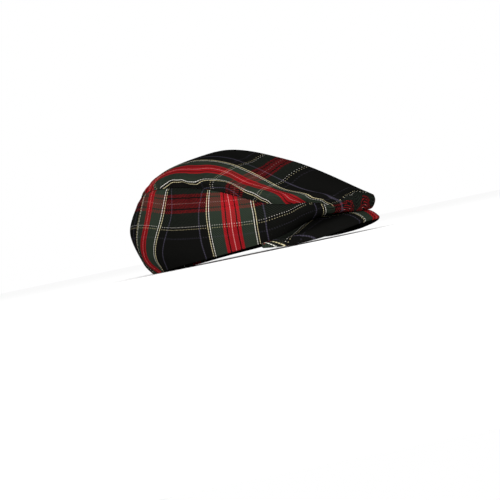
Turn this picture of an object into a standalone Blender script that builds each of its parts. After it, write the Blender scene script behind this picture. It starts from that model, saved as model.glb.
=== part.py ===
"""Flat cap of tartan twill: a one-piece top panel, two side panels and a stiffened peak.

The cap is worked out in a frame that lies on its rim: +Z up, the peak towards -Y, +X to the
wearer's left. An empty then sets it on the table as it rests by itself, on its back hem and on
the two low edges of its peak. Lengths are in metres and turns are in degrees from the front.
"""
import math

import bpy
import numpy as np
from mathutils import Matrix

# Outer sizes of the crown, from the rim plane and the plan's centre
HALF_WIDTH = 0.097
FRONT_REACH = 0.147
BACK_REACH = 0.121
CROWN_HEIGHT = 0.109
# How far the crown's highest place lies behind the plan's centre
CROWN_SET_BACK = 0.008

# The peak: its length at the middle, its arch, its board with cloth, and where its tips end
PEAK_LENGTH = 0.051
PEAK_ARCH = 0.0075
PEAK_THICKNESS = 0.004
PEAK_TURN = 69.0
# How far the board's cut edge leans in under the peak, in degrees, at the middle
PEAK_LEAN = 50.0
# The strip of the peak that goes in under the crown's edge, to be sewn there
PEAK_LEDGE = 0.003

CLOTH = 0.002
SEAM_GAP = 0.0005
# The wider gap of the seam at the front corner, where the walls of the two panels turn together
CORNER_GAP = 0.0018
# How much of the back hem the table flattens, and how deep the folds and gathers go
HEM_FLATTENED = 0.0012
FOLD_DEPTH = 0.004
GATHER_DEPTH = 0.0012
GATHERS = 9

# The side panels end in a point at the front: here at the top seam, and here at the rim
SIDE_END_AT_SEAM = 30.0
SIDE_END_AT_RIM = 22.0

# One row for each turn. Each pair is a share of the plan's reach there and of CROWN_HEIGHT.
SECTION_COLUMNS = ("turn", "rim", "low", "middle", "seam", "roll", "shoulder", "crown")
SECTIONS = (
    (0, (.66, .15), (.78, .13), (.90, .11), (.935, .105), (1.0, .185), (.93, .265), (.50, .725)),
    (20, (.67, .125), (.80, .12), (.90, .115), (.935, .125), (.995, .205), (.92, .285), (.50, .71)),
    (40, (.72, .08), (.80, .12), (.88, .175), (.93, .245), (.975, .31), (.84, .41), (.50, .705)),
    (60, (.80, .02), (.87, .125), (.92, .24), (.92, .33), (.96, .42), (.81, .53), (.50, .785)),
    (90, (.845, .0), (.93, .20), (.98, .435), (.94, .645), (.955, .725), (.80, .80), (.50, .915)),
    (120, (.86, .0), (.965, .18), (1.0, .46), (.93, .77), (.91, .835), (.77, .89), (.50, .945)),
    (150, (.88, -.01), (.965, .16), (1.0, .46), (.89, .765), (.815, .815), (.70, .88), (.45, .965)),
    (180, (.89, -.01), (.96, .125), (1.0, .46), (.89, .71), (.81, .80), (.69, .885), (.42, .975)),
)

# These levels are drawn in towards the crown's highest place, and the others to the plan's centre
SET_BACK_COLUMNS = ("shoulder", "crown")
# Levels count from 0 at the rim, and the middle of the top comes after the last column
SEAM_LEVEL = float(SECTION_COLUMNS.index("seam") - SECTION_COLUMNS.index("rim"))
TOP_LEVEL = float(len(SECTION_COLUMNS) - 1)

# The peak's free edge, a row for each share of the way round to its tip. The other columns say
# how far the edge lies out, forward and down from the crown's rim, as shares of PEAK_LENGTH.
EDGE_COLUMNS = ("way", "out", "forward", "down")
EDGE = (
    (0.0, 0.0, .985, .40),
    (0.2, .20, .945, .37),
    (0.4, .26, .915, .33),
    (0.6, .235, .825, .285),
    (0.8, .105, .60, .205),
    (0.9, .065, .285, .14),
    (1.0, .06, .02, .02),
)

# Dents and puffs, a row for each: where its middle is (turn and level; a turn below 0 is on the
# wearer's right), how far it spreads in turn and in level, and its depth as a share of FOLD_DEPTH
FOLD_COLUMNS = ("turn", "level", "turn_spread", "level_spread", "depth")
FOLDS = (
    (-99.0, 3.1, 6.0, 0.6, 0.4),
    (-88.0, 3.6, 5.0, 0.7, -0.3),
    (-80.0, 3.3, 4.0, 0.7, 0.5),
    (-66.0, 2.4, 9.0, 0.6, 0.5),
    (-52.0, 4.9, 9.0, 0.8, 0.45),
    (62.0, 3.2, 8.0, 0.7, 0.5),
    (98.0, 3.3, 7.0, 0.7, 0.4),
    (24.0, 5.2, 10.0, 0.6, 0.4),
    (-150.0, 4.6, 12.0, 0.7, 0.4),
    (-158.0, 1.1, 7.0, 0.8, 0.5),
    (158.0, 1.2, 7.0, 0.8, 0.5),
)
# The gathers of the back hem fade out by this turn from the middle of the back, and this level
GATHER_SPREAD = 26.0
GATHER_LEVELS = 1.3

# Columns of faces round the crown, which the panels share along their seams, and the rows
CROWN_COLUMNS = 72
COLUMN_STEP = 360 / CROWN_COLUMNS
TOP_LEVELS = (3.0, 3.3, 3.65, 4.0, 4.4, 4.8, 5.3, 5.8, 6.3, 6.7)
SIDE_ROWS = 9
PEAK_COLUMNS = 37
PEAK_ROWS = 8

# Cloth finishes: base colour, roughness and metallic
FINISHES = {
    "tartan_top": ((0.030, 0.016, 0.014, 1.0), 0.9, 0.0),
    "tartan_side_right": ((0.022, 0.014, 0.013, 1.0), 0.9, 0.0),
    "tartan_side_left": ((0.022, 0.014, 0.013, 1.0), 0.9, 0.0),
    "tartan_peak": ((0.035, 0.012, 0.012, 1.0), 0.88, 0.0),
}


def cubic(low, high, low_slope, high_slope, share):
    """A cubic from low to high with these slopes over one step, at shares of the step."""
    rise = 3 * share**2 - 2 * share**3
    leave = share**3 - 2 * share**2 + share
    arrive = share**3 - share**2
    return low + rise * (high - low) + leave * low_slope + arrive * high_slope


def smooth_run(knots, values, places):
    """A smooth curve through values at knots: cubics that share a slope at each knot."""
    knots = np.asarray(knots, float)
    values = np.asarray(values, float)
    slopes = np.gradient(values, knots, axis=0)
    places = np.clip(places, knots[0], knots[-1])
    first = np.clip(np.searchsorted(knots, places, side="right") - 1, 0, len(knots) - 2)
    step = knots[first + 1] - knots[first]
    share = (places - knots[first]) / step
    shape = share.shape + (1,) * (values.ndim - 1)
    share = share.reshape(shape)
    step = step.reshape(shape)
    return cubic(values[first], values[first + 1], step * slopes[first], step * slopes[first + 1], share)


def section_shares(turn):
    """The section table at any turn, run on past the front and the back by its mirror image."""
    turns = np.array([row[0] for row in SECTIONS], float)
    pairs = np.array([row[1:] for row in SECTIONS], float)
    knots = np.concatenate([-turns[1:3][::-1], turns, 360 - turns[-3:-1][::-1]])
    values = np.concatenate([pairs[1:3][::-1], pairs, pairs[-3:-1][::-1]])
    from_front = np.abs((turn + 180) % 360 - 180)
    return smooth_run(knots, values, from_front)


def fold_depth(turn, level):
    """How far the cloth is pushed in: round dents from the table, and waves at the back hem."""
    depth = np.zeros(turn.shape)
    for row in FOLDS:
        fold = dict(zip(FOLD_COLUMNS, row))
        across = ((turn - fold["turn"] + 180) % 360 - 180) / fold["turn_spread"]
        up = (level - fold["level"]) / fold["level_spread"]
        depth = depth + FOLD_DEPTH * fold["depth"] * np.exp(-(across**2) - up**2)
    from_back = (turn % 360) - 180
    fade = np.exp(-((from_back / GATHER_SPREAD) ** 4)) * np.clip(1 - level / GATHER_LEVELS, 0, 1)
    waves = 1 + np.cos(math.pi * GATHERS * from_back / GATHER_SPREAD)
    return depth + GATHER_DEPTH / 2 * fade * waves


def section_points(turn):
    """Where the sections' levels lie at each turn: the plan's ellipse scaled, and the height.

    After the table's columns come the middle of the top and its mirror image beyond.
    """
    angle = np.radians(turn)
    reach = np.where(np.cos(angle) > 0, FRONT_REACH, BACK_REACH)
    plan = np.stack([HALF_WIDTH * np.sin(angle), -reach * np.cos(angle)], -1)
    shares = section_shares(turn)
    levels = []
    for number, name in enumerate(SECTION_COLUMNS[1:]):
        out = shares[..., number, 0:1]
        up = CROWN_HEIGHT * shares[..., number, 1:2]
        across = plan * out
        if name in SET_BACK_COLUMNS:
            across = across + CROWN_SET_BACK * (1 - out) * np.array([0.0, 1.0])
        levels.append(np.concatenate([across, up], -1))
    middle = np.array([0.0, CROWN_SET_BACK, CROWN_HEIGHT])
    across = 2 * middle[:2] - levels[-1][..., :2]
    beyond = np.concatenate([across, levels[-1][..., 2:]], -1)
    levels.append(np.broadcast_to(middle, beyond.shape))
    levels.append(beyond)
    inward = np.concatenate([-plan, np.zeros_like(plan[..., :1])], -1)
    return np.stack(levels), inward / np.linalg.norm(inward, axis=-1, keepdims=True)


def crown_surface(turn, level):
    """The cloth's outer face: a smooth run up each section, pushed in where the folds say.

    turn and level are arrays of one shape; the level runs from 0 at the rim to TOP_LEVEL.
    """
    levels, inward = section_points(turn)
    slopes = np.gradient(levels, axis=0)
    first = np.clip(level.astype(int), 0, len(levels) - 2)
    share = (level - first)[..., None]
    place = np.indices(level.shape)
    low = (first, *place)
    high = (first + 1, *place)
    points = cubic(levels[low], levels[high], slopes[low], slopes[high], share)
    # The folds fade out over the last level, where the sections meet
    fade = np.clip(TOP_LEVEL - 1 - level, 0, 1)
    return points + inward * (fade * fold_depth(turn, level))[..., None]


def side_start(level):
    """The turn at which the side panel starts, between its ends at the rim and at the seam."""
    share = level / SEAM_LEVEL
    return SIDE_END_AT_RIM + (SIDE_END_AT_SEAM - SIDE_END_AT_RIM) * share


def grid_faces(rows, columns, closed=False):
    """Quads of a grid of rows by columns, numbered row by row, facing out of the cap."""
    faces = []
    for row in range(rows - 1):
        for column in range(columns if closed else columns - 1):
            beside = (column + 1) % columns
            low = row * columns
            high = low + columns
            faces.append((low + column, low + beside, high + beside, high + column))
    return faces


def crown_top_mesh():
    """The top panel: rings from the side seam to the middle, and the front tucked under."""
    tuck_reach = int(round(SIDE_END_AT_SEAM / COLUMN_STEP))
    turns = (np.arange(CROWN_COLUMNS) - tuck_reach) * COLUMN_STEP
    levels = np.array(TOP_LEVELS)
    turn_grid, level_grid = np.meshgrid(turns, levels)
    rings = crown_surface(turn_grid, level_grid).reshape(-1, 3)
    middle = crown_surface(np.zeros(1), np.full(1, TOP_LEVEL))
    faces = grid_faces(len(levels), CROWN_COLUMNS, closed=True)
    last_ring = (len(levels) - 1) * CROWN_COLUMNS
    pole = len(rings)
    for column in range(CROWN_COLUMNS):
        faces.append((last_ring + column, last_ring + (column + 1) % CROWN_COLUMNS, pole))
    # The tuck hangs from the first columns of the lowest ring, down to the rim
    tuck_columns = 2 * tuck_reach + 1
    tuck_levels = np.linspace(0, SEAM_LEVEL, SIDE_ROWS)[:-1]
    tuck_turns = np.linspace(-1, 1, tuck_columns)
    turn_grid = tuck_turns * side_start(tuck_levels)[:, None]
    level_grid = np.broadcast_to(tuck_levels[:, None], turn_grid.shape)
    tuck = crown_surface(turn_grid, level_grid).reshape(-1, 3)
    tuck_start = pole + 1
    for face in grid_faces(SIDE_ROWS, tuck_columns):
        moved = [corner - (SIDE_ROWS - 1) * tuck_columns for corner in face]
        faces.append([corner if corner >= 0 else tuck_start + len(tuck) + corner for corner in moved])
    return np.concatenate([rings, middle, tuck]), faces


def draw_back(edge, beside, distance):
    """Moves an edge's points towards the points beside them, which opens the seam's gap."""
    way = beside - edge
    return edge + way * distance / np.linalg.norm(way, axis=-1, keepdims=True)


def side_mesh(hand):
    """A side panel, from the point at its front to the seam at the back; hand is -1 or 1."""
    levels = np.linspace(0, SEAM_LEVEL, SIDE_ROWS)
    columns = int(round((180 - SIDE_END_AT_SEAM) / COLUMN_STEP)) + 1
    along = np.linspace(0, 1, columns)
    start = side_start(levels)[:, None]
    turn_grid = hand * (start + (180 - start) * along)
    level_grid = np.broadcast_to(levels[:, None], turn_grid.shape)
    grid = crown_surface(turn_grid, level_grid)
    grid[-1] = draw_back(grid[-1], grid[-2], SEAM_GAP)
    grid[:, 0] = draw_back(grid[:, 0], grid[:, 1], CORNER_GAP)
    grid[:, -1, 0] = hand * SEAM_GAP / 2
    faces = grid_faces(SIDE_ROWS, columns)
    if hand < 0:
        faces = [face[::-1] for face in faces]
    return grid.reshape(-1, 3), faces


def closed_sheet(upper, lower):
    """A board from two grids of one size: its two faces, and the strips that join their edges."""
    rows, columns = upper.shape[:2]
    count = rows * columns
    top = grid_faces(rows, columns)
    bottom = [[corner + count for corner in face[::-1]] for face in top]
    numbers = np.arange(count).reshape(rows, columns)
    border = [*numbers[0], *numbers[1:, -1], *numbers[-1, -2::-1], *numbers[-2:0:-1, 0]]
    following = border[1:] + border[:1]
    strips = [(after, here, here + count, after + count) for here, after in zip(border, following)]
    points = np.concatenate([upper.reshape(-1, 3), lower.reshape(-1, 3)])
    return points, [face[::-1] for face in top + bottom + strips]


def peak_mesh():
    """The peak: an arched upper face from a ledge under the rim to the free edge, and its board.

    The board's thickness is measured straight down at the rim and leans in towards the edge.
    """
    way = np.linspace(-1, 1, PEAK_COLUMNS)
    # The row before the middle is the mirror image of the one after it
    before = [-1.0, -1.0, 1.0, 1.0] * np.array(EDGE[1])
    table = dict(zip(EDGE_COLUMNS, np.array([before, *EDGE]).T))
    reach = [smooth_run(table["way"], table[name], np.abs(way)) for name in ("out", "forward", "down")]
    out, forward, down = PEAK_LENGTH * np.array(reach)
    rim = crown_surface(way * PEAK_TURN, np.zeros_like(way))
    rim[:, 2] -= SEAM_GAP
    edge = rim + np.stack([np.sign(way) * out, -forward, -down], -1)
    inward = -rim * np.array([1.0, 1.0, 0.0])
    inward /= np.linalg.norm(inward, axis=-1, keepdims=True)
    ledge = rim + PEAK_LEDGE * inward - np.array([0.0, 0.0, SEAM_GAP])
    outward = np.linspace(0, 1, PEAK_ROWS)[:, None]
    sheet = rim + (edge - rim) * outward[..., None]
    # The arch is highest three quarters of the way out, so that the edge turns down
    arch = outward**3 * (1 - outward) * 256 / 27
    fullness = np.sqrt(np.cos(way * math.pi / 2))
    sheet[..., 2] += PEAK_ARCH * arch * fullness
    upper = np.concatenate([ledge[None], sheet])
    lean = math.radians(PEAK_LEAN) * np.concatenate([outward[:1], outward]) * fullness
    through = inward * np.sin(lean)[..., None]
    through[..., 2] -= np.cos(lean)
    return closed_sheet(upper, upper + PEAK_THICKNESS * through)


def cloth_material(name):
    """A plain Principled finish in the piece's overall colour."""
    colour, roughness, metallic = FINISHES[name]
    material = bpy.data.materials.new(name)
    material.use_nodes = True
    shader = material.node_tree.nodes["Principled BSDF"]
    shader.inputs["Base Color"].default_value = colour
    shader.inputs["Roughness"].default_value = roughness
    shader.inputs["Metallic"].default_value = metallic
    return material


def piece_from(name, mesh_parts, material_name, collection, frame):
    """One piece of the cap, in the frame that lies on the rim."""
    points, faces = mesh_parts
    mesh = bpy.data.meshes.new(name)
    mesh.from_pydata(points.tolist(), [], faces)
    mesh.shade_smooth()
    mesh.materials.append(cloth_material(material_name))
    piece = bpy.data.objects.new(name, mesh)
    piece.parent = frame
    collection.objects.link(piece)
    return piece


def cloth_panel(name, mesh_parts, material_name, collection, frame):
    """A panel of the crown: an open surface given the cloth's thickness towards the inside."""
    piece = piece_from(name, mesh_parts, material_name, collection, frame)
    wall = piece.modifiers.new("wall", "SOLIDIFY")
    wall.thickness = CLOTH
    wall.offset = -1
    return piece


def evaluated_points(piece):
    """The piece's corners with its wall on, in the cap's own frame."""
    solid = piece.evaluated_get(bpy.context.evaluated_depsgraph_get())
    return np.array([corner.co for corner in solid.data.vertices], float)


def resting_frame(hem, peak, everything):
    """Where the cap rests: the turn about X and the shift that set hem and peak on the table.

    The turn starts at none and is put right by the slope from the hem's lowest place to the
    peak's lowest place, until they are level.
    """
    turn = 0.0
    for _ in range(6):
        rotation = np.array(Matrix.Rotation(turn, 3, "X"))
        hem_low = min(hem @ rotation.T, key=lambda point: point[2])
        peak_low = min(peak @ rotation.T, key=lambda point: point[2])
        rise = peak_low[2] - hem_low[2] - HEM_FLATTENED
        turn += math.atan2(rise, hem_low[1] - peak_low[1])
    turned = everything @ np.array(Matrix.Rotation(turn, 3, "X")).T
    low = turned.min(0)
    high = turned.max(0)
    peak_level = (peak @ np.array(Matrix.Rotation(turn, 3, "X")).T)[:, 2].min()
    shift = (-(low[0] + high[0]) / 2, -(low[1] + high[1]) / 2, -peak_level)
    return Matrix.Translation(shift) @ Matrix.Rotation(turn, 4, "X")


def build_cap():
    """Makes the pieces, sets them on the table and flattens the hem where it rests."""
    collection = bpy.data.collections.new("flat_cap")
    cutters = bpy.data.collections.new("cutters")
    bpy.context.scene.collection.children.link(collection)
    bpy.context.scene.collection.children.link(cutters)
    frame = bpy.data.objects.new("rim_frame", None)
    collection.objects.link(frame)

    top = cloth_panel("crown_top", crown_top_mesh(), "tartan_top", collection, frame)
    right = cloth_panel("side_right", side_mesh(-1), "tartan_side_right", collection, frame)
    left = cloth_panel("side_left", side_mesh(1), "tartan_side_left", collection, frame)
    peak = piece_from("peak", peak_mesh(), "tartan_peak", collection, frame)
    bpy.context.view_layer.update()

    sides = [evaluated_points(right), evaluated_points(left)]
    hem = np.concatenate(sides)
    hem = hem[hem[:, 1] > 0]
    peak_points = evaluated_points(peak)
    everything = np.concatenate([*sides, peak_points, evaluated_points(top)])
    frame.matrix_world = resting_frame(hem, peak_points, everything)

    # The table, as a block whose top is the level that the cap rests on
    room = 2 * (FRONT_REACH + BACK_REACH)
    bpy.ops.mesh.primitive_cube_add(size=room, location=(0, 0, -room / 2))
    table = bpy.context.object
    table.name = "table"
    for holder in list(table.users_collection):
        holder.objects.unlink(table)
    cutters.objects.link(table)
    table.hide_render = True
    table.display_type = "WIRE"
    for piece in (right, left):
        flatten = piece.modifiers.new("flattened_hem", "BOOLEAN")
        flatten.operation = "DIFFERENCE"
        flatten.solver = "EXACT"
        flatten.object = table


for old in list(bpy.data.objects):
    bpy.data.objects.remove(old, do_unlink=True)
build_cap()
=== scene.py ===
# %% [markdown]
# # A flat cap in tartan twill
# A flat cap is four pieces of cloth: one top panel that runs from the back over to the front, two side
# panels, and a peak. They could be cut from one sphere or sculpted, but a cap's shape comes from its
# pattern pieces, so here each is a surface of its own, worked out from a table of cross-sections. The
# tartan is woven thread by thread in a shader, and laid on by a UV map that counts threads.

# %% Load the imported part
import math

import bpy
import numpy as np
from mathutils import Matrix, Vector


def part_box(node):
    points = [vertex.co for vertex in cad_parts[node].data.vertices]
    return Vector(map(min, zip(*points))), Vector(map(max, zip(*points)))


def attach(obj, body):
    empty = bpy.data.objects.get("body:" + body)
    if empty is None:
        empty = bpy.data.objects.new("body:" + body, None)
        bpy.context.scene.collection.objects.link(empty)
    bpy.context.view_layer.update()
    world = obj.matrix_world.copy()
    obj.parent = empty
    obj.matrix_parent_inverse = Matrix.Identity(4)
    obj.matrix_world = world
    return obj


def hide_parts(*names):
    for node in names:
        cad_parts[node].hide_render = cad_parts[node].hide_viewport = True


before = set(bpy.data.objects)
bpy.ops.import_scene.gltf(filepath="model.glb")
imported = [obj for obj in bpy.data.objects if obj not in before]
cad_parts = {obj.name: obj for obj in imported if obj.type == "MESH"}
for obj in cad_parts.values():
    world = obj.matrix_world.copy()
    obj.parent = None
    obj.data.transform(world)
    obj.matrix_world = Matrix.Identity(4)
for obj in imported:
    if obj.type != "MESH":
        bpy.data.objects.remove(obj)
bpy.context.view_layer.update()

# %% [markdown]
# ## The cap's sections
# A cap can be drawn as cross-sections round its middle: from the hem up the side to the seam, over the
# puffed roll and on to the crown. Sculpting would give a shape too, but not one that is easy to change.
# Here each row is one such section, at a turn from the front. Between the rows, and up each section, the
# cloth is a smooth cubic run, so a few numbers give all of it.

# %% Sections of the crown
HALF_WIDTH = 0.097
FRONT_REACH = 0.147
BACK_REACH = 0.121
CROWN_HEIGHT = 0.109
CROWN_SET_BACK = 0.008
# Each pair is a share of the plan's reach outwards and a share of the crown's height
SECTION_COLUMNS = ("turn", "rim", "low", "middle", "seam", "roll", "shoulder", "crown")
SECTIONS = (
    (0, (.66, .15), (.78, .12), (.90, .08), (.965, .075), (1.0, .165), (.93, .265), (.50, .725)),
    (20, (.67, .125), (.80, .11), (.90, .09), (.955, .095), (.995, .19), (.92, .285), (.50, .71)),
    (40, (.72, .08), (.80, .12), (.88, .175), (.93, .245), (.975, .31), (.84, .41), (.50, .705)),
    (60, (.80, .02), (.87, .125), (.92, .24), (.92, .33), (.96, .42), (.81, .53), (.50, .785)),
    (90, (.845, .0), (.93, .20), (.98, .435), (.94, .645), (.955, .725), (.80, .80), (.50, .915)),
    (120, (.86, .0), (.965, .18), (1.0, .46), (.925, .76), (.89, .83), (.76, .885), (.50, .945)),
    (150, (.88, -.01), (.965, .16), (1.0, .455), (.85, .73), (.76, .785), (.67, .865), (.45, .96)),
    (180, (.89, -.01), (.96, .125), (1.0, .45), (.86, .69), (.775, .775), (.67, .875), (.42, .97)),
)
SET_BACK_COLUMNS = ("shoulder", "crown")
# The levels count the columns: the rim is 0, the top seam 3, and the crown's middle 7
SEAM_LEVEL = 3.0
TOP_LEVEL = 7.0
# The side panels end in a point at the front: at this turn at the top seam, and this at the rim
SIDE_END_AT_SEAM = 30.0
SIDE_END_AT_RIM = 22.0


def cubic(low, high, low_slope, high_slope, share):
    """A cubic from low to high with these slopes over one step, at shares of the step."""
    rise = 3 * share**2 - 2 * share**3
    leave = share**3 - 2 * share**2 + share
    arrive = share**3 - share**2
    return low + rise * (high - low) + leave * low_slope + arrive * high_slope


def smooth_run(knots, values, places):
    """A smooth curve through values at knots: cubics that share a slope at each knot."""
    knots = np.asarray(knots, float)
    values = np.asarray(values, float)
    slopes = np.gradient(values, knots, axis=0)
    places = np.clip(places, knots[0], knots[-1])
    first = np.clip(np.searchsorted(knots, places, side="right") - 1, 0, len(knots) - 2)
    step = knots[first + 1] - knots[first]
    shape = places.shape + (1,) * (values.ndim - 1)
    share = ((places - knots[first]) / step).reshape(shape)
    step = step.reshape(shape)
    return cubic(values[first], values[first + 1], step * slopes[first], step * slopes[first + 1], share)


def off_front(turn):
    """A turn as it lies from the front, between -180 and 180."""
    return (turn + 180) % 360 - 180


def section_shares(turn):
    """The section table at any turn, run on past the front and the back by its mirror image."""
    turns = np.array([row[0] for row in SECTIONS], float)
    pairs = np.array([row[1:] for row in SECTIONS], float)
    knots = np.concatenate([-turns[1:3][::-1], turns, 360 - turns[-3:-1][::-1]])
    values = np.concatenate([pairs[1:3][::-1], pairs, pairs[-3:-1][::-1]])
    return smooth_run(knots, values, np.abs(off_front(turn)))


def plan_at(turn):
    """The crown's plan: half an ellipse to the front and half a shorter one to the back."""
    angle = np.radians(turn)
    reach = np.where(np.cos(angle) > 0, FRONT_REACH, BACK_REACH)
    return np.stack([HALF_WIDTH * np.sin(angle), -reach * np.cos(angle)], -1)


def side_start(level):
    """The turn at which the side panel starts, between its ends at the rim and at the seam."""
    return SIDE_END_AT_RIM + (SIDE_END_AT_SEAM - SIDE_END_AT_RIM) * level / SEAM_LEVEL


print(len(SECTIONS), "sections of", len(SECTION_COLUMNS) - 1, "levels each")

# %% [markdown]
# ## Folds, gathers and puckers
# A soft cap is never smooth: it dents beside the seam, sags into folds at its sides, and gathers at the
# back and where the roll is tucked under at the front. A simulation would put such folds anywhere. Here
# each fold has a row that says where it is and how deep, and fine waves that die away from the seam
# stand for the pull of its stitches.

# %% Depths of the folds
FOLD_COLUMNS = ("turn", "level", "turn_spread", "level_spread", "lean", "millimetres")
FOLDS = (
    (-99, 3.1, 6.0, 0.6, 0, 1.6),
    (-88, 3.6, 5.0, 0.7, 0, -1.2),
    (-80, 3.3, 4.0, 0.7, 0, 2.0),
    (-66, 2.4, 9.0, 0.6, 0, 2.0),
    (-52, 4.9, 9.0, 0.8, 0, 1.8),
    (-98, 2.45, 1.7, 0.45, 1.4, 1.7),
    (-91.5, 2.6, 1.5, 0.3, -1.2, 1.3),
    (-73, 4.4, 3.0, 0.9, 2.0, 1.2),
    (-112, 4.6, 4.0, 0.8, -2.0, 1.2),
    (62, 3.2, 8.0, 0.7, 0, 2.0),
    (98, 3.3, 7.0, 0.7, 0, 1.6),
    (24, 5.2, 10.0, 0.6, 0, 1.6),
    (-16.5, 3.9, 2.2, 0.9, 0, 3.0),
    (-150, 4.6, 12.0, 0.7, 0, 1.6),
    (-158, 1.1, 7.0, 0.8, 0, 2.0),
    (158, 1.2, 7.0, 0.8, 0, 2.0),
)
# The hem is gathered at the back: waves on either side of the middle, over so many degrees and levels
GATHERS = 9
GATHER_SPREAD = 26.0
GATHER_LEVELS = 1.3
GATHER_DEPTH = 0.0012
# The roll over the peak is gathered: waves this many degrees wide, round a middle level and turn
TUCK_WAVE = 2.6
TUCK_DEPTH = 0.0007
TUCK_LEVEL = 3.1
TUCK_LEVEL_SPREAD = 1.1
TUCK_TURN_SPREAD = 30
# How far the panels dip into the seam and how much its stitches pucker them, and how far out, in mm
SEAM_DIP = 0.0012
DIP_REACH = 1.6
PUCKER_DEPTH = 0.00045
PUCKER_REACH = 5
PUCKER_RATES = (0.9, 0.21)
# Finer puckers lie over them: their share, waves' rate and phase
FINE_PUCKERS = (0.6, 1.57, 1.3)
# The seam's dip and puckers start this many degrees before the side panel does
SEAM_LEAD = 2
# Roughly how many millimetres one level is, below the top seam and above it
LEVEL_BELOW_SEAM = 26
LEVEL_ABOVE_SEAM = 9


def from_seam(level):
    """How many millimetres, roughly, a level lies from the top seam: a level is wider below it."""
    below = (SEAM_LEVEL - level) * LEVEL_BELOW_SEAM
    return np.where(level < SEAM_LEVEL, below, (level - SEAM_LEVEL) * LEVEL_ABOVE_SEAM)


def uneven_waves(turn, rate, drift):
    """A sine of the turn whose phase is carried to and fro by a slower sine, so no two waves are alike."""
    return np.sin(turn * rate + 2 * np.sin(turn * drift))


def fold_depth(turn, level):
    """How far the cloth is pushed in.

    Each fold is a bell in turn and level, and the gathers are raised cosines inside a flat-topped bell.
    The puckers are uneven waves, and they and the seam's dip fade as a bell from the seam.
    """
    depth = np.zeros(turn.shape)
    for row in FOLDS:
        fold = dict(zip(FOLD_COLUMNS, row))
        up = (level - fold["level"]) / fold["level_spread"]
        off = off_front(turn - fold["turn"])
        across = (off - fold["lean"] * up) / fold["turn_spread"]
        depth = depth + fold["millimetres"] / 1000 * np.exp(-(across**2) - up**2)
    from_back = (turn % 360) - 180
    fade = np.exp(-((from_back / GATHER_SPREAD) ** 4)) * np.clip(1 - level / GATHER_LEVELS, 0, 1)
    depth = depth + GATHER_DEPTH / 2 * fade * (1 + np.cos(math.pi * GATHERS * from_back / GATHER_SPREAD))
    up = (level - TUCK_LEVEL) / TUCK_LEVEL_SPREAD
    tucked = np.exp(-(up**4) - (off_front(turn) / TUCK_TURN_SPREAD) ** 8)
    depth = depth + TUCK_DEPTH / 2 * tucked * (1 + np.cos(2 * math.pi * turn / TUCK_WAVE))
    away = from_seam(level)
    beside = np.abs(off_front(turn)) > side_start(np.minimum(level, SEAM_LEVEL)) - SEAM_LEAD
    share, rate, phase = FINE_PUCKERS
    waves = uneven_waves(turn, *PUCKER_RATES) + share * np.sin(turn * rate + phase)
    depth = depth + beside * PUCKER_DEPTH * waves * np.exp(-((away / PUCKER_REACH) ** 2))
    return depth + beside * SEAM_DIP * np.exp(-((away / DIP_REACH) ** 2))


print("deepest fold in mm", max(row[-1] for row in FOLDS))

# %% [markdown]
# ## The cloth's surface
# All the panels lie on one surface, so that they meet at their seams. One function gives its point for
# every turn and level, in the frame that lies on the rim. A second turns it into the frame of the table,
# where the cap rests on its back hem and its peak's low edges.

# %% Surface of the crown
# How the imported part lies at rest: its turn about X in radians, and its shift in metres
REST_TURN = -0.056468
REST_SHIFT = np.array([0.000003, 0.011797, 0.005898])


def section_points(turn):
    """Where the sections' levels lie at each turn: the plan scaled by a share, and a height."""
    plan = plan_at(turn)
    shares = section_shares(turn)
    levels = []
    for number, name in enumerate(SECTION_COLUMNS[1:]):
        out = shares[..., number, 0:1]
        across = plan * out
        if name in SET_BACK_COLUMNS:
            across = across + CROWN_SET_BACK * (1 - out) * np.array([0.0, 1.0])
        levels.append(np.concatenate([across, CROWN_HEIGHT * shares[..., number, 1:2]], -1))
    middle = np.array([0.0, CROWN_SET_BACK, CROWN_HEIGHT])
    beyond = np.concatenate([2 * middle[:2] - levels[-1][..., :2], levels[-1][..., 2:]], -1)
    levels.append(np.broadcast_to(middle, beyond.shape))
    levels.append(beyond)
    inward = np.concatenate([-plan, np.zeros_like(plan[..., :1])], -1)
    return np.stack(levels), inward / np.linalg.norm(inward, axis=-1, keepdims=True)


def crown_surface(turn, level):
    """The cloth's outer face: a cubic run up each section, pushed in by the folds, less near the middle."""
    levels, inward = section_points(turn)
    slopes = np.gradient(levels, axis=0)
    first = np.clip(level.astype(int), 0, len(levels) - 2)
    share = (level - first)[..., None]
    place = np.indices(level.shape)
    low = (first, *place)
    high = (first + 1, *place)
    points = cubic(levels[low], levels[high], slopes[low], slopes[high], share)
    fade = np.clip(TOP_LEVEL - 1 - level, 0, 1)
    return points + inward * (fade * fold_depth(turn, level))[..., None]


def rested(points):
    """Points of the rim's frame in the table's frame: a turn about X and a shift."""
    cosine = math.cos(REST_TURN)
    sine = math.sin(REST_TURN)
    turned = np.array([[1, 0, 0], [0, cosine, -sine], [0, sine, cosine]])
    return points @ turned.T + REST_SHIFT


def outward_normals(grid):
    """Unit normals of a grid of points, from the cross product of its two differences."""
    normals = np.cross(np.gradient(grid, axis=1), np.gradient(grid, axis=0))
    return normals / np.maximum(np.linalg.norm(normals, axis=-1, keepdims=True), 1e-12)


probe = rested(crown_surface(np.array([0.0, -90.0, 180.0]), np.array([4.0, 2.0, 2.0])))
print("front roll, right side and back in mm", (1000 * probe).round(1).tolist())

# %% [markdown]
# ## Laying the tartan on the cloth
# On the real cap the weave runs straight along each pattern piece, and the cloth is eased and stretched
# into shape, so the lines of the tartan bow. A box or sphere projection can't follow that. Instead each
# piece gets a UV map counted in threads. On the top panel a place is first rolled out flat: its
# distance from the middle along its section, in its own direction. Short tables then say where the
# tartan's main lines cross that flat piece, and every other thread is shared out between them.

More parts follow.
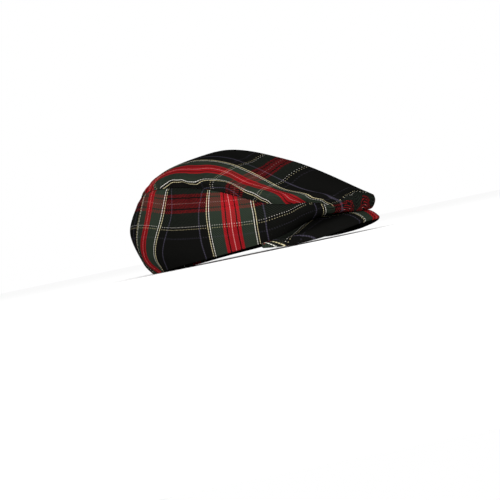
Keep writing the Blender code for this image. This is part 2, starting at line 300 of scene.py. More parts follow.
# %% Threads on the top panel
# Columns: millimetres along (front is below 0), then how far out threads 43, 59, 98, 137 and 176 lie
TOP_WARP = (
    (-190, 54, 66, 86, 110, 140),
    (-165, 58, 65.5, 84, 108, 140),
    (-150, 66, 72, 87, 112, 142),
    (-130, 68.5, 81.5, 91, 110, 138),
    (-105, 63.5, 82, 94.5, 111, 136),
    (-80, 56, 72.5, 87, 109, 133),
    (-55, 46, 63.5, 86, 106, 130),
    (-30, 36, 55, 75.5, 97.5, 122),
    (-10, 34, 51, 71.5, 100, 126),
    (5, 33, 47.5, 73.5, 103, 128),
    (20, 26, 40, 68, 95, 121),
    (35, 22, 33, 61.5, 90, 116),
    (60, 33, 47, 74, 88, 113),
    (100, 30, 42, 68, 88, 113),
)
TOP_WARP_THREADS = (0, 43, 59, 98, 137, 176)
# The seam's stitches draw the lines beside it into small waves: how far, in mm, and over which levels
SEAM_WAVE = 0.5
SEAM_WAVE_LEVELS = 2
SEAM_WAVE_RATES = (0.85, 0.19)
# Within so many millimetres of the cap's middle the waves die away
WAVE_FADE = 40
# Columns: millimetres out, then how far along the weft threads -210, -182, -157, -39, 0, 39, 98, 196 lie
TOP_WEFT = (
    (0, -215, -195, -172, -107, -80, -57, -17, 50),
    (9, -214, -192, -170, -106.5, -79, -56, -16, 51),
    (16, -202, -179.5, -167, -105, -78, -54, -14, 54),
    (27, -200, -177.5, -165, -102.5, -75, -50, -10, 57),
    (37, -208, -189, -163.5, -99.5, -73, -46, -6, 60),
    (46, -193, -171, -162, -97, -71, -43, -4, 62),
    (62, -190, -163.5, -160, -93.5, -66.5, -34, 4, 70),
    (85, -180, -157, -154, -79, -50, -22, 16, 80),
    (105, -176, -153, -150, -71, -42, -15, 24, 86),
)
TOP_WEFT_THREADS = (-210, -182, -157, -39, 0, 39, 98, 196)
# The middle of a black band runs along the middle of the cap
MIDDLE_WARP = 98
ROLL_STEPS = 280


def between(lines, threads, places):
    """Shares the threads out between the lines beside each place, and on past the outer two."""
    lines = np.stack(np.broadcast_arrays(*lines), -1)
    count = lines.shape[-1]
    first = np.clip((lines <= places[..., None]).sum(-1) - 1, 0, count - 2)
    low = np.take_along_axis(lines, first[..., None], -1)[..., 0]
    high = np.take_along_axis(lines, first[..., None] + 1, -1)[..., 0]
    threads = np.asarray(threads, float)
    return threads[first] + (places - low) / (high - low) * (threads[first + 1] - threads[first])


def rolled_out(turn, level):
    """The flat place of a top panel's grid: its distance from the middle, in its own direction."""
    fine = np.linspace(0, TOP_LEVEL, ROLL_STEPS + 1)
    turns = np.unique(turn)
    runs = crown_surface(*np.broadcast_arrays(turns[None, :], fine[:, None]))
    steps = np.linalg.norm(np.diff(runs, axis=0), axis=-1)
    from_middle = np.concatenate([np.cumsum(steps[::-1], axis=0)[::-1], np.zeros((1, len(turns)))])
    column = np.searchsorted(turns, turn)
    place = np.clip(level / TOP_LEVEL * ROLL_STEPS, 0, ROLL_STEPS - 0.001)
    row = place.astype(int)
    share = place - row
    distance = 1000 * (from_middle[row, column] * (1 - share) + from_middle[row + 1, column] * share)
    plan = plan_at(turn)
    return distance[..., None] * plan / np.linalg.norm(plan, axis=-1, keepdims=True)


def top_threads(turn, level):
    """Warp and weft thread numbers on the top panel, the same on its left half as on its right."""
    flat = rolled_out(turn, level)
    near_seam = np.exp(-(((level - SEAM_LEVEL) / SEAM_WAVE_LEVELS) ** 2))
    waves = uneven_waves(turn, *SEAM_WAVE_RATES) * near_seam
    out = np.abs(flat[..., 0])
    out = out + SEAM_WAVE * waves * np.clip(out / WAVE_FADE, 0, 1)
    warp = np.array(TOP_WARP, float)
    lines = [np.zeros_like(out)]
    for column in range(1, warp.shape[1]):
        lines.append(smooth_run(warp[:, 0], warp[:, column], flat[..., 1]))
    across = np.sign(flat[..., 0]) * between(lines, TOP_WARP_THREADS, out)
    weft = np.array(TOP_WEFT, float)
    # The first row's mirror image keeps the lines level where they cross the middle
    weft = np.concatenate([[[-weft[1, 0], *weft[1, 1:]]], weft])
    lines = [smooth_run(weft[:, 0], weft[:, column], out) for column in range(1, weft.shape[1])]
    return np.stack([across + MIDDLE_WARP, between(lines, TOP_WEFT_THREADS, flat[..., 1])], -1)


print("warp lines placed on the top:", len(TOP_WARP_THREADS))

# %% [markdown]
# ## The tartan on the side panels
# Each side panel's lines stand upright, but the panel is curved and its cloth is pulled, so they lean
# and bow. Straight stripes would miss them. One table says at which turn each main line crosses four
# levels. A second gives the level of one crosswise line, and the threads are counted up from it.

# %% Threads on the side panels
# Columns: thread, then the turn at which it crosses the levels 0, 1, 2 and 3
SIDE_WARP = (
    (196, 12, 16, 20, 24),
    (157, 27, 30, 34, 37),
    (141, 33, 36.5, 38.5, 41),
    (55, 65, 65.5, 65, 64.5),
    (39, 70, 70, 69.5, 69),
    (0, 82, 81, 79.5, 79),
    (-39, 94, 91.5, 89, 86.5),
    (-55, 99.5, 97, 93, 88.5),
    (-141, 131, 122, 108.5, 106),
    (-157, 136.5, 129.5, 115, 107.8),
    (-181.5, 138.5, 139, 124.8, 117.5),
    (-210.5, 145, 147.5, 129.8, 122.8),
    (-235, 153, 152, 137.5, 130.5),
    (-294, 166, 164, 160, 157),
    (-342, 180, 180, 180, 180),
)
# The level of the white and yellow weft line at each turn
SIDE_WEFT = (
    (25, 4.3), (35, 3.4), (44, 2.82), (48, 2.48), (53, 2.0), (58.5, 1.74), (63.5, 1.52), (67, 1.4),
    (72.5, 1.33), (77, 1.28), (85.5, 1.28), (95, 1.36), (108.5, 1.56), (124.5, 1.88), (136.5, 2.02),
    (160, 2.1), (180, 2.1),
)
SIDE_WEFT_THREAD = -39
WEFT_THREAD_MM = 0.7
# Where that line would lie above the seam, this many millimetres stand for one level
BEYOND_SEAM_MM = 22


def side_threads(turn, level, grid):
    """Warp threads by the table of turns at each level, weft threads by the way up each section."""
    turn = np.abs(turn)
    table = np.array(SIDE_WARP, float)
    across = np.empty(turn.shape)
    for row in range(len(turn)):
        here = smooth_run(np.arange(4.0), table[:, 1:].T, level[row, :1])[0]
        across[row] = np.interp(turn[row], here, table[:, 0])
    steps = np.linalg.norm(np.diff(grid, axis=0), axis=-1)
    way_up = 1000 * np.concatenate([np.zeros((1, turn.shape[1])), np.cumsum(steps, axis=0)])
    weft = np.array(SIDE_WEFT, float)
    past = level - smooth_run(weft[:, 0], weft[:, 1], turn)
    up = np.empty(turn.shape)
    for column in range(turn.shape[1]):
        beyond = max(-past[-1, column], 0) * BEYOND_SEAM_MM
        line = np.interp(0.0, past[:, column], way_up[:, column]) + beyond
        up[:, column] = SIDE_WEFT_THREAD + (way_up[:, column] - line) / WEFT_THREAD_MM
    return np.stack([across, up], -1)


print("warp lines placed on each side:", len(SIDE_WARP))

# %% [markdown]
# ## Meshes from grids
# A grid of points becomes a mesh by joining each point to its neighbours. At a seam the cloth doesn't
# end: the panel turns in by a seam allowance, which gives the seam its soft rounded lips and dark line.
# So each border gets a few more rows that go inward, and Solidify then gives the sheet its thickness.

# %% Helpers for meshes
CLOTH = 0.0012
# How deep each row of the seam allowance lies behind the face
ALLOWANCE = (0.0004, 0.0012, 0.0032)
THREADS_PER_METRE = 1500


def grid_faces(rows, columns, closed=False):
    """Quads of a grid numbered row by row, each seen from outside as going to the right and up."""
    low = np.arange(rows - 1)[:, None] * columns
    high = low + columns
    here = np.arange(columns if closed else columns - 1)
    beside = (here + 1) % columns
    return np.stack([low + here, low + beside, high + beside, high + here], -1).reshape(-1, 4)


def strip_faces(border, first_new, rows):
    """Quads that carry on from a border into rows of new points, which are numbered from first_new."""
    lines = [np.asarray(border)]
    for row in range(rows):
        lines.append(first_new + row * len(border) + np.arange(len(border)))
    lines = np.stack(lines)
    faces = np.stack([lines[:-1, 1:], lines[:-1, :-1], lines[1:, :-1], lines[1:, 1:]], -1)
    return faces.reshape(-1, 4)


def make_piece(name, points, faces, threads, thickness=None):
    """A mesh object at the origin with a UV map in threads, and cloth thickness if it's a sheet."""
    mesh = bpy.data.meshes.new(name)
    mesh.from_pydata(points.tolist(), [], [list(face) for face in faces])
    layer = mesh.uv_layers.new(name="threads")
    corners = np.empty(len(mesh.loops), np.int32)
    mesh.loops.foreach_get("vertex_index", corners)
    layer.data.foreach_set("uv", threads[corners].astype(np.float32).ravel())
    mesh.shade_smooth()
    piece = bpy.data.objects.new(name, mesh)
    bpy.context.scene.collection.objects.link(piece)
    if thickness:
        wall = piece.modifiers.new("cloth", "SOLIDIFY")
        wall.thickness = thickness
        wall.offset = -1
    print(name, len(mesh.polygons), "faces")
    return piece


print("a grid of 3 by 3 points has", len(grid_faces(3, 3)), "faces")

# %% [markdown]
# ## The top panel
# One piece of cloth covers the whole top. At the front it rolls over and is tucked under, down to the
# base of the peak. Rings of points run round the section levels to the middle, where they close in a
# fan, and the tuck hangs from the front of the lowest ring.

# %% Top panel
TOP_COLUMNS = 420
FRONT_COLUMNS = 121
TOP_ROWS = 96
TUCK_ROWS = 40
# The last ring stops this much of a level before the middle, and the rings lie closer at the seam
FAN_LEVEL = 0.06
RING_BUNCHING = 1.1


def top_panel():
    """The top's rings and tuck as one mesh, with its seam allowance turned in."""
    front = np.linspace(-SIDE_END_AT_SEAM, SIDE_END_AT_SEAM, FRONT_COLUMNS)
    rest = np.linspace(SIDE_END_AT_SEAM, 360 - SIDE_END_AT_SEAM, TOP_COLUMNS - FRONT_COLUMNS + 2)[1:-1]
    turns = np.concatenate([front, rest])
    share = np.linspace(0, 1, TOP_ROWS) ** RING_BUNCHING
    levels = SEAM_LEVEL + (TOP_LEVEL - FAN_LEVEL - SEAM_LEVEL) * share
    turn, level = np.meshgrid(turns, levels)
    rings = crown_surface(turn, level)
    ring_threads = top_threads(turn, level)
    wide = FRONT_COLUMNS
    tuck_levels = np.linspace(0, SEAM_LEVEL, TUCK_ROWS + 1)
    tuck_turn = np.linspace(-1, 1, wide) * side_start(tuck_levels)[:, None]
    tuck_level = np.broadcast_to(tuck_levels[:, None], tuck_turn.shape)
    tuck = crown_surface(tuck_turn, tuck_level)
    tuck_threads = top_threads(tuck_turn, tuck_level)
    middle = np.array([[0.0, CROWN_SET_BACK, CROWN_HEIGHT]])
    points = np.concatenate([rings.reshape(-1, 3), middle, tuck[:-1].reshape(-1, 3)])
    middle_threads = [[MIDDLE_WARP, ring_threads[-1, :, 1].mean()]]
    threads = np.concatenate(
        [ring_threads.reshape(-1, 2), middle_threads, tuck_threads[:-1].reshape(-1, 2)]
    )
    pole = TOP_ROWS * TOP_COLUMNS
    last = pole - TOP_COLUMNS + np.arange(TOP_COLUMNS)
    fan = np.stack([last, np.roll(last, -1), np.full(TOP_COLUMNS, pole)], -1)
    tuck_numbers = pole + 1 + np.arange(TUCK_ROWS * wide).reshape(TUCK_ROWS, wide)
    hanging = np.concatenate([tuck_numbers, np.arange(wide)[None]])
    order = hanging.reshape(-1)
    faces = [*grid_faces(TOP_ROWS, TOP_COLUMNS, closed=True), *fan, *order[grid_faces(TUCK_ROWS + 1, wide)]]
    # The border: up the tuck's end, round the ring's seam and down the tuck's other end
    round_ring = np.concatenate([np.arange(wide - 1, TOP_COLUMNS), [0]])
    border = np.concatenate([tuck_numbers[:, -1], round_ring, tuck_numbers[::-1, 0]])
    ring_normals = outward_normals(rings)[0][round_ring % TOP_COLUMNS]
    tuck_normals = outward_normals(tuck)
    normals = np.concatenate([tuck_normals[:-1, -1], ring_normals, tuck_normals[-2::-1, 0]])
    for depth in ALLOWANCE:
        points = np.concatenate([points, points[border] - depth * normals])
        threads = np.concatenate([threads, threads[border] + THREADS_PER_METRE * depth])
    faces += [*strip_faces(border, pole + 1 + TUCK_ROWS * wide, len(ALLOWANCE))]
    return rested(points), faces, threads


top = make_piece("top_panel", *top_panel(), thickness=CLOTH)

# %% [markdown]
# ## The side panels
# Each side is one strip from a point at the front corner to the seam at the middle of the back. Its
# lower edge is turned up inside as a hem, so the edge that shows is a soft fold of double cloth.

# %% Side panels
SIDE_COLUMNS = 208
SIDE_ROWS = 62
# How far the panel is drawn back at its seams, and at its point in front, in metres
SEAM_GAP = 0.0004
CORNER_GAP = 0.0007
HEM_THICK = 0.0025
HEM_ROWS = 10
# The fold below the hem: two rows, this far in as shares of the hem's thickness, and this far down
HEM_FOLD = (0.25, 0.75)
HEM_DROP = 0.0005
# How many threads lie between two rows of the hem
HEM_THREADS = 1.5


def draw_back(edge, beside, distance):
    """Moves an edge's points towards the points beside them, which opens the seam's gap."""
    way = beside - edge
    return edge + way * distance / np.linalg.norm(way, axis=-1, keepdims=True)


def side_panel(hand):
    """A side panel with its hem turned up inside; hand is -1 on the right and 1 on the left."""
    levels = np.linspace(0, SEAM_LEVEL, SIDE_ROWS)
    start = side_start(levels)[:, None]
    turn = hand * (start + (180 - start) * np.linspace(0, 1, SIDE_COLUMNS))
    level = np.broadcast_to(levels[:, None], turn.shape)
    grid = crown_surface(turn, level)
    threads = side_threads(turn, level, grid)
    normals = hand * outward_normals(grid)
    grid[-1] = draw_back(grid[-1], grid[-2], SEAM_GAP)
    grid[:, 0] = draw_back(grid[:, 0], grid[:, 1], CORNER_GAP)
    grid[:, -1, 0] = hand * SEAM_GAP / 2
    numbers = np.arange(SIDE_ROWS * SIDE_COLUMNS).reshape(SIDE_ROWS, SIDE_COLUMNS)
    border = np.concatenate([numbers[:-1, -1], numbers[-1, ::-1], numbers[-2::-1, 0]])
    points = grid.reshape(-1, 3)
    uv = threads.reshape(-1, 2)
    flat_normals = normals.reshape(-1, 3)[border]
    count = len(points)
    faces = [*grid_faces(SIDE_ROWS, SIDE_COLUMNS), *strip_faces(border, count, len(ALLOWANCE))]
    base = points[border]
    for depth in ALLOWANCE:
        turned_in = base - depth * flat_normals
        # Behind the face of the back seam the two allowances meet at the middle
        turned_in[:SIDE_ROWS, 0] = 0.0
        points = np.concatenate([points, turned_in])
        uv = np.concatenate([uv, uv[border] - THREADS_PER_METRE * depth])
    # The hem: round the fold and up the inside
    first_new = len(points)
    rows = [grid[0] - share * HEM_THICK * normals[0] - [0.0, 0.0, HEM_DROP] for share in HEM_FOLD]
    for row in range(HEM_ROWS):
        rows.append(grid[row] - HEM_THICK * normals[row])
    for number, row in enumerate(rows):
        points = np.concatenate([points, row])
        uv = np.concatenate([uv, threads[0] - [0.0, HEM_THREADS * (number + 1)]])
    faces += [*strip_faces(numbers[0], first_new, len(rows))]
    if hand < 0:
        faces = [face[::-1] for face in faces]
    placed = rested(points)
    # The table flattens the back of the hem where the cap rests
    placed[:, 2] = np.maximum(placed[:, 2], 0.0)
    return placed, faces, uv


side_right = make_piece("side_panel_right", *side_panel(-1), thickness=CLOTH)
side_left = make_piece("side_panel_left", *side_panel(1), thickness=CLOTH)

# %% [markdown]
# ## The peak
# The peak is a stiff board with the tartan stretched over both faces. A flat outline could be bent and
# thickened, but its edge would be sharp. Here its cross-section is carried from tip to tip: out over the
# arched upper face, round the edge and back underneath, as one closed loop.

# %% Peak
PEAK_LENGTH = 0.051
PEAK_ARCH = 0.0075
PEAK_THICKNESS = 0.004
PEAK_TURN = 69.0
PEAK_LEAN = 50.0
# A ledge reaches under the rim: this far in, and this far below it
PEAK_LEDGE = 0.003
LEDGE_DROP = 0.0004
# From the middle to a tip: how far the edge lies from the rim, as shares of the peak's length
EDGE_COLUMNS = ("way", "out", "forward", "down")
EDGE = (
    (0.0, 0.0, .985, .40),
    (0.2, .20, .945, .37),
    (0.4, .26, .915, .33),
    (0.6, .235, .825, .285),
    (0.8, .105, .60, .205),
    (0.9, .065, .285, .14),
    (1.0, .06, .02, .02),
)
PEAK_COLUMNS = 241
PEAK_ROWS = 44
PEAK_REACH = 0.97
# The rounded edge: its rows from face to face, and how far it stands out, as a share of the board
ROUND_ROWS = 9
ROUND_PUSH = 0.4
# Laid flat, the peak's cover is a crescent whose inner edge has this radius, in millimetres
FLAT_RADIUS = 200.0
PEAK_WARP_MM = 0.6
PEAK_WEFT_MM = 0.68
PEAK_BASE_WEFT = 39
# A thread at the cut ends, in metres, and the threads that they start from, both in the sett's black
END_THREAD = 0.0007
END_THREADS = (130, 90)


def peak_rows():
    """The upper face's rows from the ledge to the edge, and the board's thickness under each.

    The face goes straight from the rim to the edge and is raised by an arch, out cubed times what is
    left, scaled so that its top is 1, and less towards the tips.
    """
    way = np.linspace(-1, 1, PEAK_COLUMNS)
    # The second row's mirror image before the first keeps the edge smooth at the middle
    before = [-1.0, -1.0, 1.0, 1.0] * np.array(EDGE[1])
    table = dict(zip(EDGE_COLUMNS, np.array([before, *EDGE]).T))
    reach = [smooth_run(table["way"], table[name], np.abs(way)) for name in ("out", "forward", "down")]
    out, forward, down = PEAK_LENGTH * np.array(reach)
    rim = crown_surface(way * PEAK_TURN, np.zeros_like(way))
    edge = rim + np.stack([np.sign(way) * out, -forward, -down], -1)
    inward = -rim * np.array([1.0, 1.0, 0.0])
    inward /= np.linalg.norm(inward, axis=-1, keepdims=True)
    ledge = rim + PEAK_LEDGE * inward - [0.0, 0.0, LEDGE_DROP]
    outward = np.linspace(0, PEAK_REACH, PEAK_ROWS)[:, None]
    sheet = rim + (edge - rim) * outward[..., None]
    arch = outward**3 * (1 - outward) * 256 / 27
    fullness = np.sqrt(np.cos(way * math.pi / 2))
    sheet[..., 2] += PEAK_ARCH * arch * fullness
    upper = np.concatenate([ledge[None], sheet])
    lean = math.radians(PEAK_LEAN) * np.concatenate([outward[:1], outward]) * fullness
    through = inward * np.sin(lean)[..., None]
    through[..., 2] -= np.cos(lean)
    return upper, PEAK_THICKNESS * through


def peak_piece():
    """The closed loop: upper face, a half-round edge, the underside, and the ends filled.

    Laid flat, a point is a radius and an angle. Warp threads are counted along the sine of the angle and
    weft threads along its cosine, and the underside is counted back as the mirror image of the top.
    """
    upper, through = peak_rows()
    lower = upper + through
    middle = (upper[-1] + lower[-1]) / 2
    away = upper[-1] - upper[-3]
    away /= np.linalg.norm(away, axis=-1, keepdims=True)
    round_edge = []
    for angle in np.linspace(0, math.pi, ROUND_ROWS)[1:-1]:
        push = ROUND_PUSH * PEAK_THICKNESS * math.sin(angle) * away
        round_edge.append(middle + math.cos(angle) * (upper[-1] - lower[-1]) / 2 + push)
    loop = np.concatenate([upper, np.array(round_edge), lower[::-1]])
    rows = len(loop)
    points = rested(loop.reshape(-1, 3))
    numbers = np.arange(rows * PEAK_COLUMNS).reshape(rows, PEAK_COLUMNS)
    closed = np.concatenate([numbers, numbers[:1]])
    faces = [*closed.reshape(-1)[grid_faces(rows + 1, PEAK_COLUMNS)][:, ::-1]]
    faces += [numbers[:, 0], numbers[::-1, -1]]
    steps = np.linalg.norm(np.diff(loop, axis=0), axis=-1)
    way_out = 1000 * np.concatenate([np.zeros((1, PEAK_COLUMNS)), np.cumsum(steps, axis=0)])
    turned_under = way_out[len(upper) + len(round_edge) // 2]
    way_out = turned_under - np.abs(way_out - turned_under)
    base = np.linalg.norm(np.diff(upper[1], axis=0), axis=-1)
    round_base = 1000 * np.concatenate([[0], np.cumsum(base)])
    angle = (round_base - round_base[-1] / 2) / FLAT_RADIUS
    radius = FLAT_RADIUS + way_out
    across = radius * np.sin(angle) / PEAK_WARP_MM
    along = (radius * np.cos(angle) - FLAT_RADIUS) / PEAK_WEFT_MM + PEAK_BASE_WEFT
    return points, faces, np.stack([across, along], -1).reshape(-1, 2)


peak = make_piece("peak_cover", *peak_piece())
# The two ends have their own count of threads, straight across and up
for end in peak.data.polygons[-2:]:
    for number in end.loop_indices:
        place = peak.data.vertices[peak.data.loops[number].vertex_index].co
        threads = (place.y / END_THREAD + END_THREADS[0], place.z / END_THREAD + END_THREADS[1])
        peak.data.uv_layers["threads"].data[number].uv = threads

# %% [markdown]
# ## Helpers for the shader
# The cloth could be an image, but a shader that counts threads stays sharp at any distance. Its sums
# are long, so a small class wraps a number socket: plus, minus, times and divided by each add a node.


# %% Shader helpers
class Value:
    """A number socket that adds a Math node when it is used in an expression."""

    def __init__(self, sheet, socket):
        self.sheet = sheet
        self.socket = socket

    def math(self, operation, *others, swap=False):
        """The number socket of a new Math node that works on this value and others, or swapped round."""
        values = [self, *others]
        if swap:
            values.reverse()
        node = self.sheet.add("ShaderNodeMath", {"operation": operation}, dict(enumerate(values)))
        return Value(self.sheet, node.outputs[0])

    def __add__(self, other):
        return self.math("ADD", other)

    __radd__ = __add__

    def __sub__(self, other):
        return self.math("SUBTRACT", other)

    def __rsub__(self, other):
        return self.math("SUBTRACT", other, swap=True)

    def __mul__(self, other):
        return self.math("MULTIPLY", other)

    __rmul__ = __mul__

    def __truediv__(self, other):
        return self.math("DIVIDE", other)


class Sheet:
    """A material's node tree: add() makes any node, with its settings and then its sockets."""

    def __init__(self, name):
        self.material = bpy.data.materials.new(name)
        self.material.use_nodes = True
        self.tree = self.material.node_tree
        self.shader = self.tree.nodes["Principled BSDF"]

    def put(self, socket, value):
        """Links a socket, or sets it where the value is a number or a colour."""
        if isinstance(value, Value):
            value = value.socket
        if isinstance(value, bpy.types.NodeSocket):
            self.tree.links.new(value, socket)
        else:
            socket.default_value = value

    def add(self, kind, settings, sockets):
        """A new node of this kind: its settings first, a ramp's stops among them, then its sockets."""
        node = self.tree.nodes.new(kind)
        for name, value in settings.items():
            if name == "stops":
                ramp = node.color_ramp
                while len(ramp.elements) < len(value):
                    ramp.elements.new(1.0)
                for element, (position, colour) in zip(ramp.elements, value):
                    element.position = position
                    element.color = (*colour, 1.0)
                ramp.interpolation = "CONSTANT"
            else:
                setattr(node, name, value)
        for name, value in sockets.items():
            self.put(node.inputs[name], value)
        return node

    def mix(self, factor, first, second, blend="MIX"):
        """A colour mixed from two, by a number socket or a constant."""
        settings = {"data_type": "RGBA", "blend_type": blend}
        return self.add("ShaderNodeMix", settings, {0: factor, 6: first, 7: second}).outputs[2]


def from_screen(*levels):
    """A colour picked on a screen, as 0 to 255, in the linear values that Blender uses.

    Dark levels are divided by 12.92, and the others are raised to the power 2.4.
    """
    shares = np.array(levels) / 255
    return tuple(np.where(shares <= 0.04045, shares / 12.92, ((shares + 0.055) / 1.055) ** 2.4))


print("half-bright on a screen is", round(float(from_screen(128)[0]), 3), "in linear light")

# %% [markdown]
# ## The sett
# A tartan is one list of coloured threads, the sett, counted from the middle of its red band to the
# middle of its black, mirrored at both ends and used in both directions. Stripes could be painted one
# by one. A colour ramp that doesn't blend holds the whole list, with its counts in plain sight.

# %% The sett
BLACK = from_screen(15, 15, 14)
RED = from_screen(138, 23, 28)
ROSE = from_screen(186, 118, 116)
GREEN = from_screen(38, 45, 37)
WHITE = from_screen(205, 203, 193)
YELLOW = from_screen(188, 178, 140)
PURPLE = from_screen(54, 51, 62)
# From the middle of a red band out to the middle of the black: each colour and its threads
SETT = (
    (ROSE, 1), (RED, 7), (BLACK, 2), (RED, 5), (GREEN, 20), (BLACK, 1),
    (WHITE, 1), (BLACK, 3), (YELLOW, 1), (BLACK, 13), (PURPLE, 2), (BLACK, 42),
)
HALF_SETT = sum(count for colour, count in SETT)


def sett_stops():
    """The sett as stops of a ramp that doesn't blend: each colour starts half a thread before its first."""
    stops = []
    start = -0.5
    for colour, count in SETT:
        stops.append((max(start, 0) / HALF_SETT, colour))
        start += count
    return stops


def thread_colour(sheet, thread):
    """The colour of a whole-numbered thread: how far it is from the nearest red middle, mirrored."""
    place = (thread + HALF_SETT).math("FLOORED_MODULO", 2 * HALF_SETT)
    share = (place - HALF_SETT).math("ABSOLUTE") / HALF_SETT
    return sheet.add("ShaderNodeValToRGB", {"stops": sett_stops()}, {0: share}).outputs[0]


print("threads from the red middle to the black middle:", HALF_SETT)

# %% [markdown]
# ## The twill
# The cloth is a warp-faced twill: each lengthwise thread passes over three crosswise threads and under
# one, and each row steps on by one, which draws fine diagonals. Blending the two directions' colours
# would look printed. Here the two whole thread numbers say which is on top, so the crosswise colours
# show as short stitches. A bump rounds each stitch, painted shade darkens the colour where the weave is
# low, and a faint noise makes the wool uneven.

# %% The cloth
CLOTH_ROUGHNESS = 0.88
# A warp stitch's height at its side and how much more in its middle, and a weft stitch's height, for the
# bump and the painted shade
WARP_LOW = 0.45
WARP_RISE = 0.55
WEFT_HEIGHT = 0.7
# Painted shade: how light the colour is painted at the bottom of the weave, and how much lighter at its top
SHADE_LOW = 0.5
SHADE_RISE = 0.6
# Wear: the darkest the noise makes the cloth, its rise from there, and its scale
WEAR_LOW = 0.86
WEAR_RISE = 0.28
WEAR_SCALE = 45.0
WEAR_DETAIL = 5.0
# Bump heights of a stitch and of the soft unevenness of the wool, in metres, and that noise's scale
STITCH_BUMP = 0.0002
WOOL_BUMP = 0.0006
WOOL_SCALE = 90.0
WOOL_DETAIL = 3.0
BUMP_STRENGTH = 0.6


def tartan(name):
    """The woven cloth: three warp threads over one weft thread, stepping by one at each row.

    The two thread numbers, added and divided by four, leave 0 where the weft is on top. A stitch's
    height is a sine across it, times a sine along it. The same height paints shade into the colour, so
    it is darker where the weave is low.
    """
    sheet = Sheet(name)
    uv = sheet.add("ShaderNodeUVMap", {"uv_map": "threads"}, {}).outputs[0]
    apart = sheet.add("ShaderNodeSeparateXYZ", {}, {0: uv})
    across = Value(sheet, apart.outputs[0])
    along = Value(sheet, apart.outputs[1])
    warp = across.math("FLOOR")
    weft = along.math("FLOOR")
    step = (warp + weft).math("FLOORED_MODULO", 4)
    warp_over = step.math("GREATER_THAN", 0.5)
    warp_round = ((across - warp) * math.pi).math("SINE")
    weft_round = ((along - weft) * math.pi).math("SINE")
    colour = sheet.mix(warp_over, thread_colour(sheet, weft), thread_colour(sheet, warp))
    float_share = (step - 1 + (along - weft)) / 3
    float_round = (float_share.math("MAXIMUM", 0) * math.pi).math("SINE")
    height = warp_over * (WARP_LOW + WARP_RISE * warp_round * (0.5 + 0.5 * float_round))
    height = height + (1 - warp_over) * WEFT_HEIGHT * weft_round * warp_round
    # Painted shade: the colour is darker where the weave is low, between the threads and where a warp float
    # dips under
    shade = SHADE_LOW + SHADE_RISE * height
    place = sheet.add("ShaderNodeTexCoord", {}, {}).outputs["Object"]
    sockets = {"Vector": place, "Scale": WEAR_SCALE, "Detail": WEAR_DETAIL}
    wear = sheet.add("ShaderNodeTexNoise", {}, sockets)
    shade = shade * (WEAR_LOW + WEAR_RISE * Value(sheet, wear.outputs[0]))
    # The painted shade and the wear noise together, as a grey that darkens the thread colours
    shade_and_wear_grey = sheet.add("ShaderNodeCombineColor", {}, {0: shade, 1: shade, 2: shade}).outputs[0]
    sheet.put(sheet.shader.inputs["Base Color"], sheet.mix(1.0, colour, shade_and_wear_grey, "MULTIPLY"))
    sheet.shader.inputs["Roughness"].default_value = CLOTH_ROUGHNESS
    sheet.shader.inputs["Specular IOR Level"].default_value = 0.0
    sockets = {"Vector": place, "Scale": WOOL_SCALE, "Detail": WOOL_DETAIL}
    soft = sheet.add("ShaderNodeTexNoise", {}, sockets)
    total = height * STITCH_BUMP + Value(sheet, soft.outputs[0]) * WOOL_BUMP
    sockets = {"Strength": BUMP_STRENGTH, "Distance": 1.0, "Height": total}
    bump = sheet.add("ShaderNodeBump", {}, sockets)
    sheet.put(sheet.shader.inputs["Normal"], bump.outputs[0])
    return sheet.material


TARTAN = tartan("tartan_twill")
for piece in (top, side_right, side_left, peak):
    piece.data.materials.append(TARTAN)
print("threads in a full repeat:", 2 * HALF_SETT)

# %% [markdown]
# ## Joining the pieces to the part
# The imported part's solids are plain, and their meshes could be coloured, but they have no weave's UV
# map. So each dressed piece stands for its plain solid, and rides on the part's one body.

# %% Pieces stand for the CAD nodes
PIECES = (
    (top, "crown_top", "tartan_top"),
    (side_right, "side_right", "tartan_side"),
    (side_left, "side_left", "tartan_side"),
    (peak, "peak", "tartan_peak"),
)
for piece, node, slot in PIECES:
    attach(piece, "root")
    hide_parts(node)
    low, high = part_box(node)
    print(node, "CAD box in mm", [round(1000 * v, 1) for v in (*low, *high)])

# %% [markdown]
# ## The floor
# The cap lies on a plain pale floor, large enough that its edge is out of sight. A backdrop with a
# rounded corner would do too, but from this low camera a plain floor meets the white just as softly.

# %% Floor
FLOOR_HALF = 40.0
PALE = 0.95
corners = [(-FLOOR_HALF, -FLOOR_HALF, 0), (FLOOR_HALF, -FLOOR_HALF, 0)]
corners += [(FLOOR_HALF, FLOOR_HALF, 0), (-FLOOR_HALF, FLOOR_HALF, 0)]
floor_mesh = bpy.data.meshes.new("floor")
floor_mesh.from_pydata(corners, [], [(0, 1, 2, 3)])
floor = bpy.data.objects.new("floor", floor_mesh)
bpy.context.scene.collection.objects.link(floor)
floor_sheet = Sheet("pale_floor")
floor_sheet.shader.inputs["Base Color"].default_value = (PALE, PALE, PALE, 1)
floor_sheet.shader.inputs["Roughness"].default_value = 0.9
floor_sheet.shader.inputs["Specular IOR Level"].default_value = 0.0
floor_mesh.materials.append(floor_sheet.material)
print("floor", 2 * FLOOR_HALF, "m wide")

# %% [markdown]
# ## Light
# A picture on white is lit from all round. A white surrounding gives that, and one large soft lamp on
# the camera's side gives the folds a little direction. A hard lamp would whiten the twill's threads.

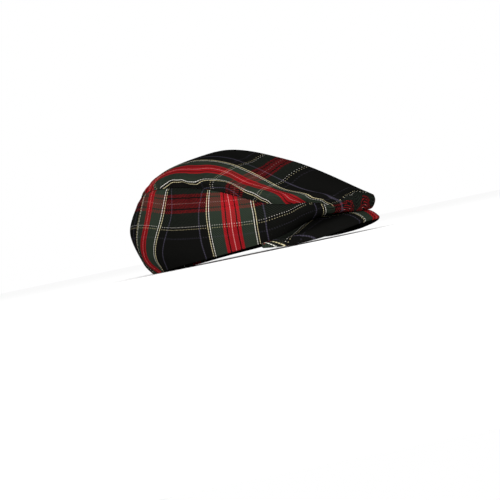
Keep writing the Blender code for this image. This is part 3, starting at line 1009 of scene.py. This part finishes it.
# %% Light
KEY_PLACE = Vector((-1.7, -0.8, 0.45))
KEY_AIM = Vector((0, 0, 0.06))
KEY_SIZE = 1.0
KEY_POWER = 34
world = bpy.data.worlds.new("studio")
bpy.context.scene.world = world
world.use_nodes = True
world.node_tree.nodes["Background"].inputs[0].default_value = (1.0, 1.0, 1.0, 1)
world.node_tree.nodes["Background"].inputs[1].default_value = 1.0
bpy.context.scene.view_settings.view_transform = "Standard"
lamp = bpy.data.lights.new("key", "AREA")
lamp.size = KEY_SIZE
lamp.energy = KEY_POWER
key = bpy.data.objects.new("key", lamp)
key.location = KEY_PLACE
key.rotation_euler = (KEY_AIM - KEY_PLACE).to_track_quat("-Z", "Y").to_euler()
bpy.context.scene.collection.objects.link(key)
print("lamp", round((KEY_AIM - KEY_PLACE).length, 2), "m from the cap")

# %% [markdown]
# ## Camera
# A long lens from far off keeps the lines nearly parallel. The cap lies level on the floor, so the
# photo's tilt is given by rolling the camera. The size of one pixel at the cap and the pixel where the
# peak's near tip lies fix the rest: where the camera stands and where it looks.

# %% Camera
# The photo's frame is 500 x 500; the near tip of the peak lies at this pixel of it
FRAME_PIXELS = 500
SENSOR_MM = 36.0
TIP_PIXEL = (261.5, 244.5)
TIP = Vector((-0.07175, -0.03003, 0.00801))
AZIMUTH = 290.0
ROLL = -11.8
DISTANCE = 1.8
# The size of one pixel at the cap, in metres
PIXEL_AT_CAP = 0.00106
CAMERA_HEIGHT = 0.014
focal_pixels = DISTANCE / PIXEL_AT_CAP
turn = math.radians(AZIMUTH)
rise = math.asin((CAMERA_HEIGHT - TIP.z) / DISTANCE)
back = Vector((math.sin(turn) * math.cos(rise), -math.cos(turn) * math.cos(rise), math.sin(rise)))
lens = bpy.data.cameras.new("camera")
lens.sensor_width = SENSOR_MM
lens.lens = SENSOR_MM * focal_pixels / FRAME_PIXELS
camera = bpy.data.objects.new("camera", lens)
bpy.context.scene.collection.objects.link(camera)
camera.location = TIP + back * (DISTANCE - TIP.dot(back))
aim = (-back).to_track_quat("-Z", "Y").to_matrix()
rolled = aim @ Matrix.Rotation(math.radians(ROLL), 3, "Z")
tip_right = (TIP_PIXEL[0] - FRAME_PIXELS / 2) / focal_pixels
tip_up = (FRAME_PIXELS / 2 - TIP_PIXEL[1]) / focal_pixels
to_tip = Vector((tip_right, tip_up, -1.0))
turned = Vector((0, 0, -1)).rotation_difference(to_tip).to_matrix()
camera.rotation_mode = "QUATERNION"
camera.rotation_quaternion = (rolled @ turned.inverted()).to_quaternion()
bpy.context.scene.camera = camera
print("lens in mm", round(lens.lens, 1), "camera height in mm", round(1000 * camera.location.z, 1))
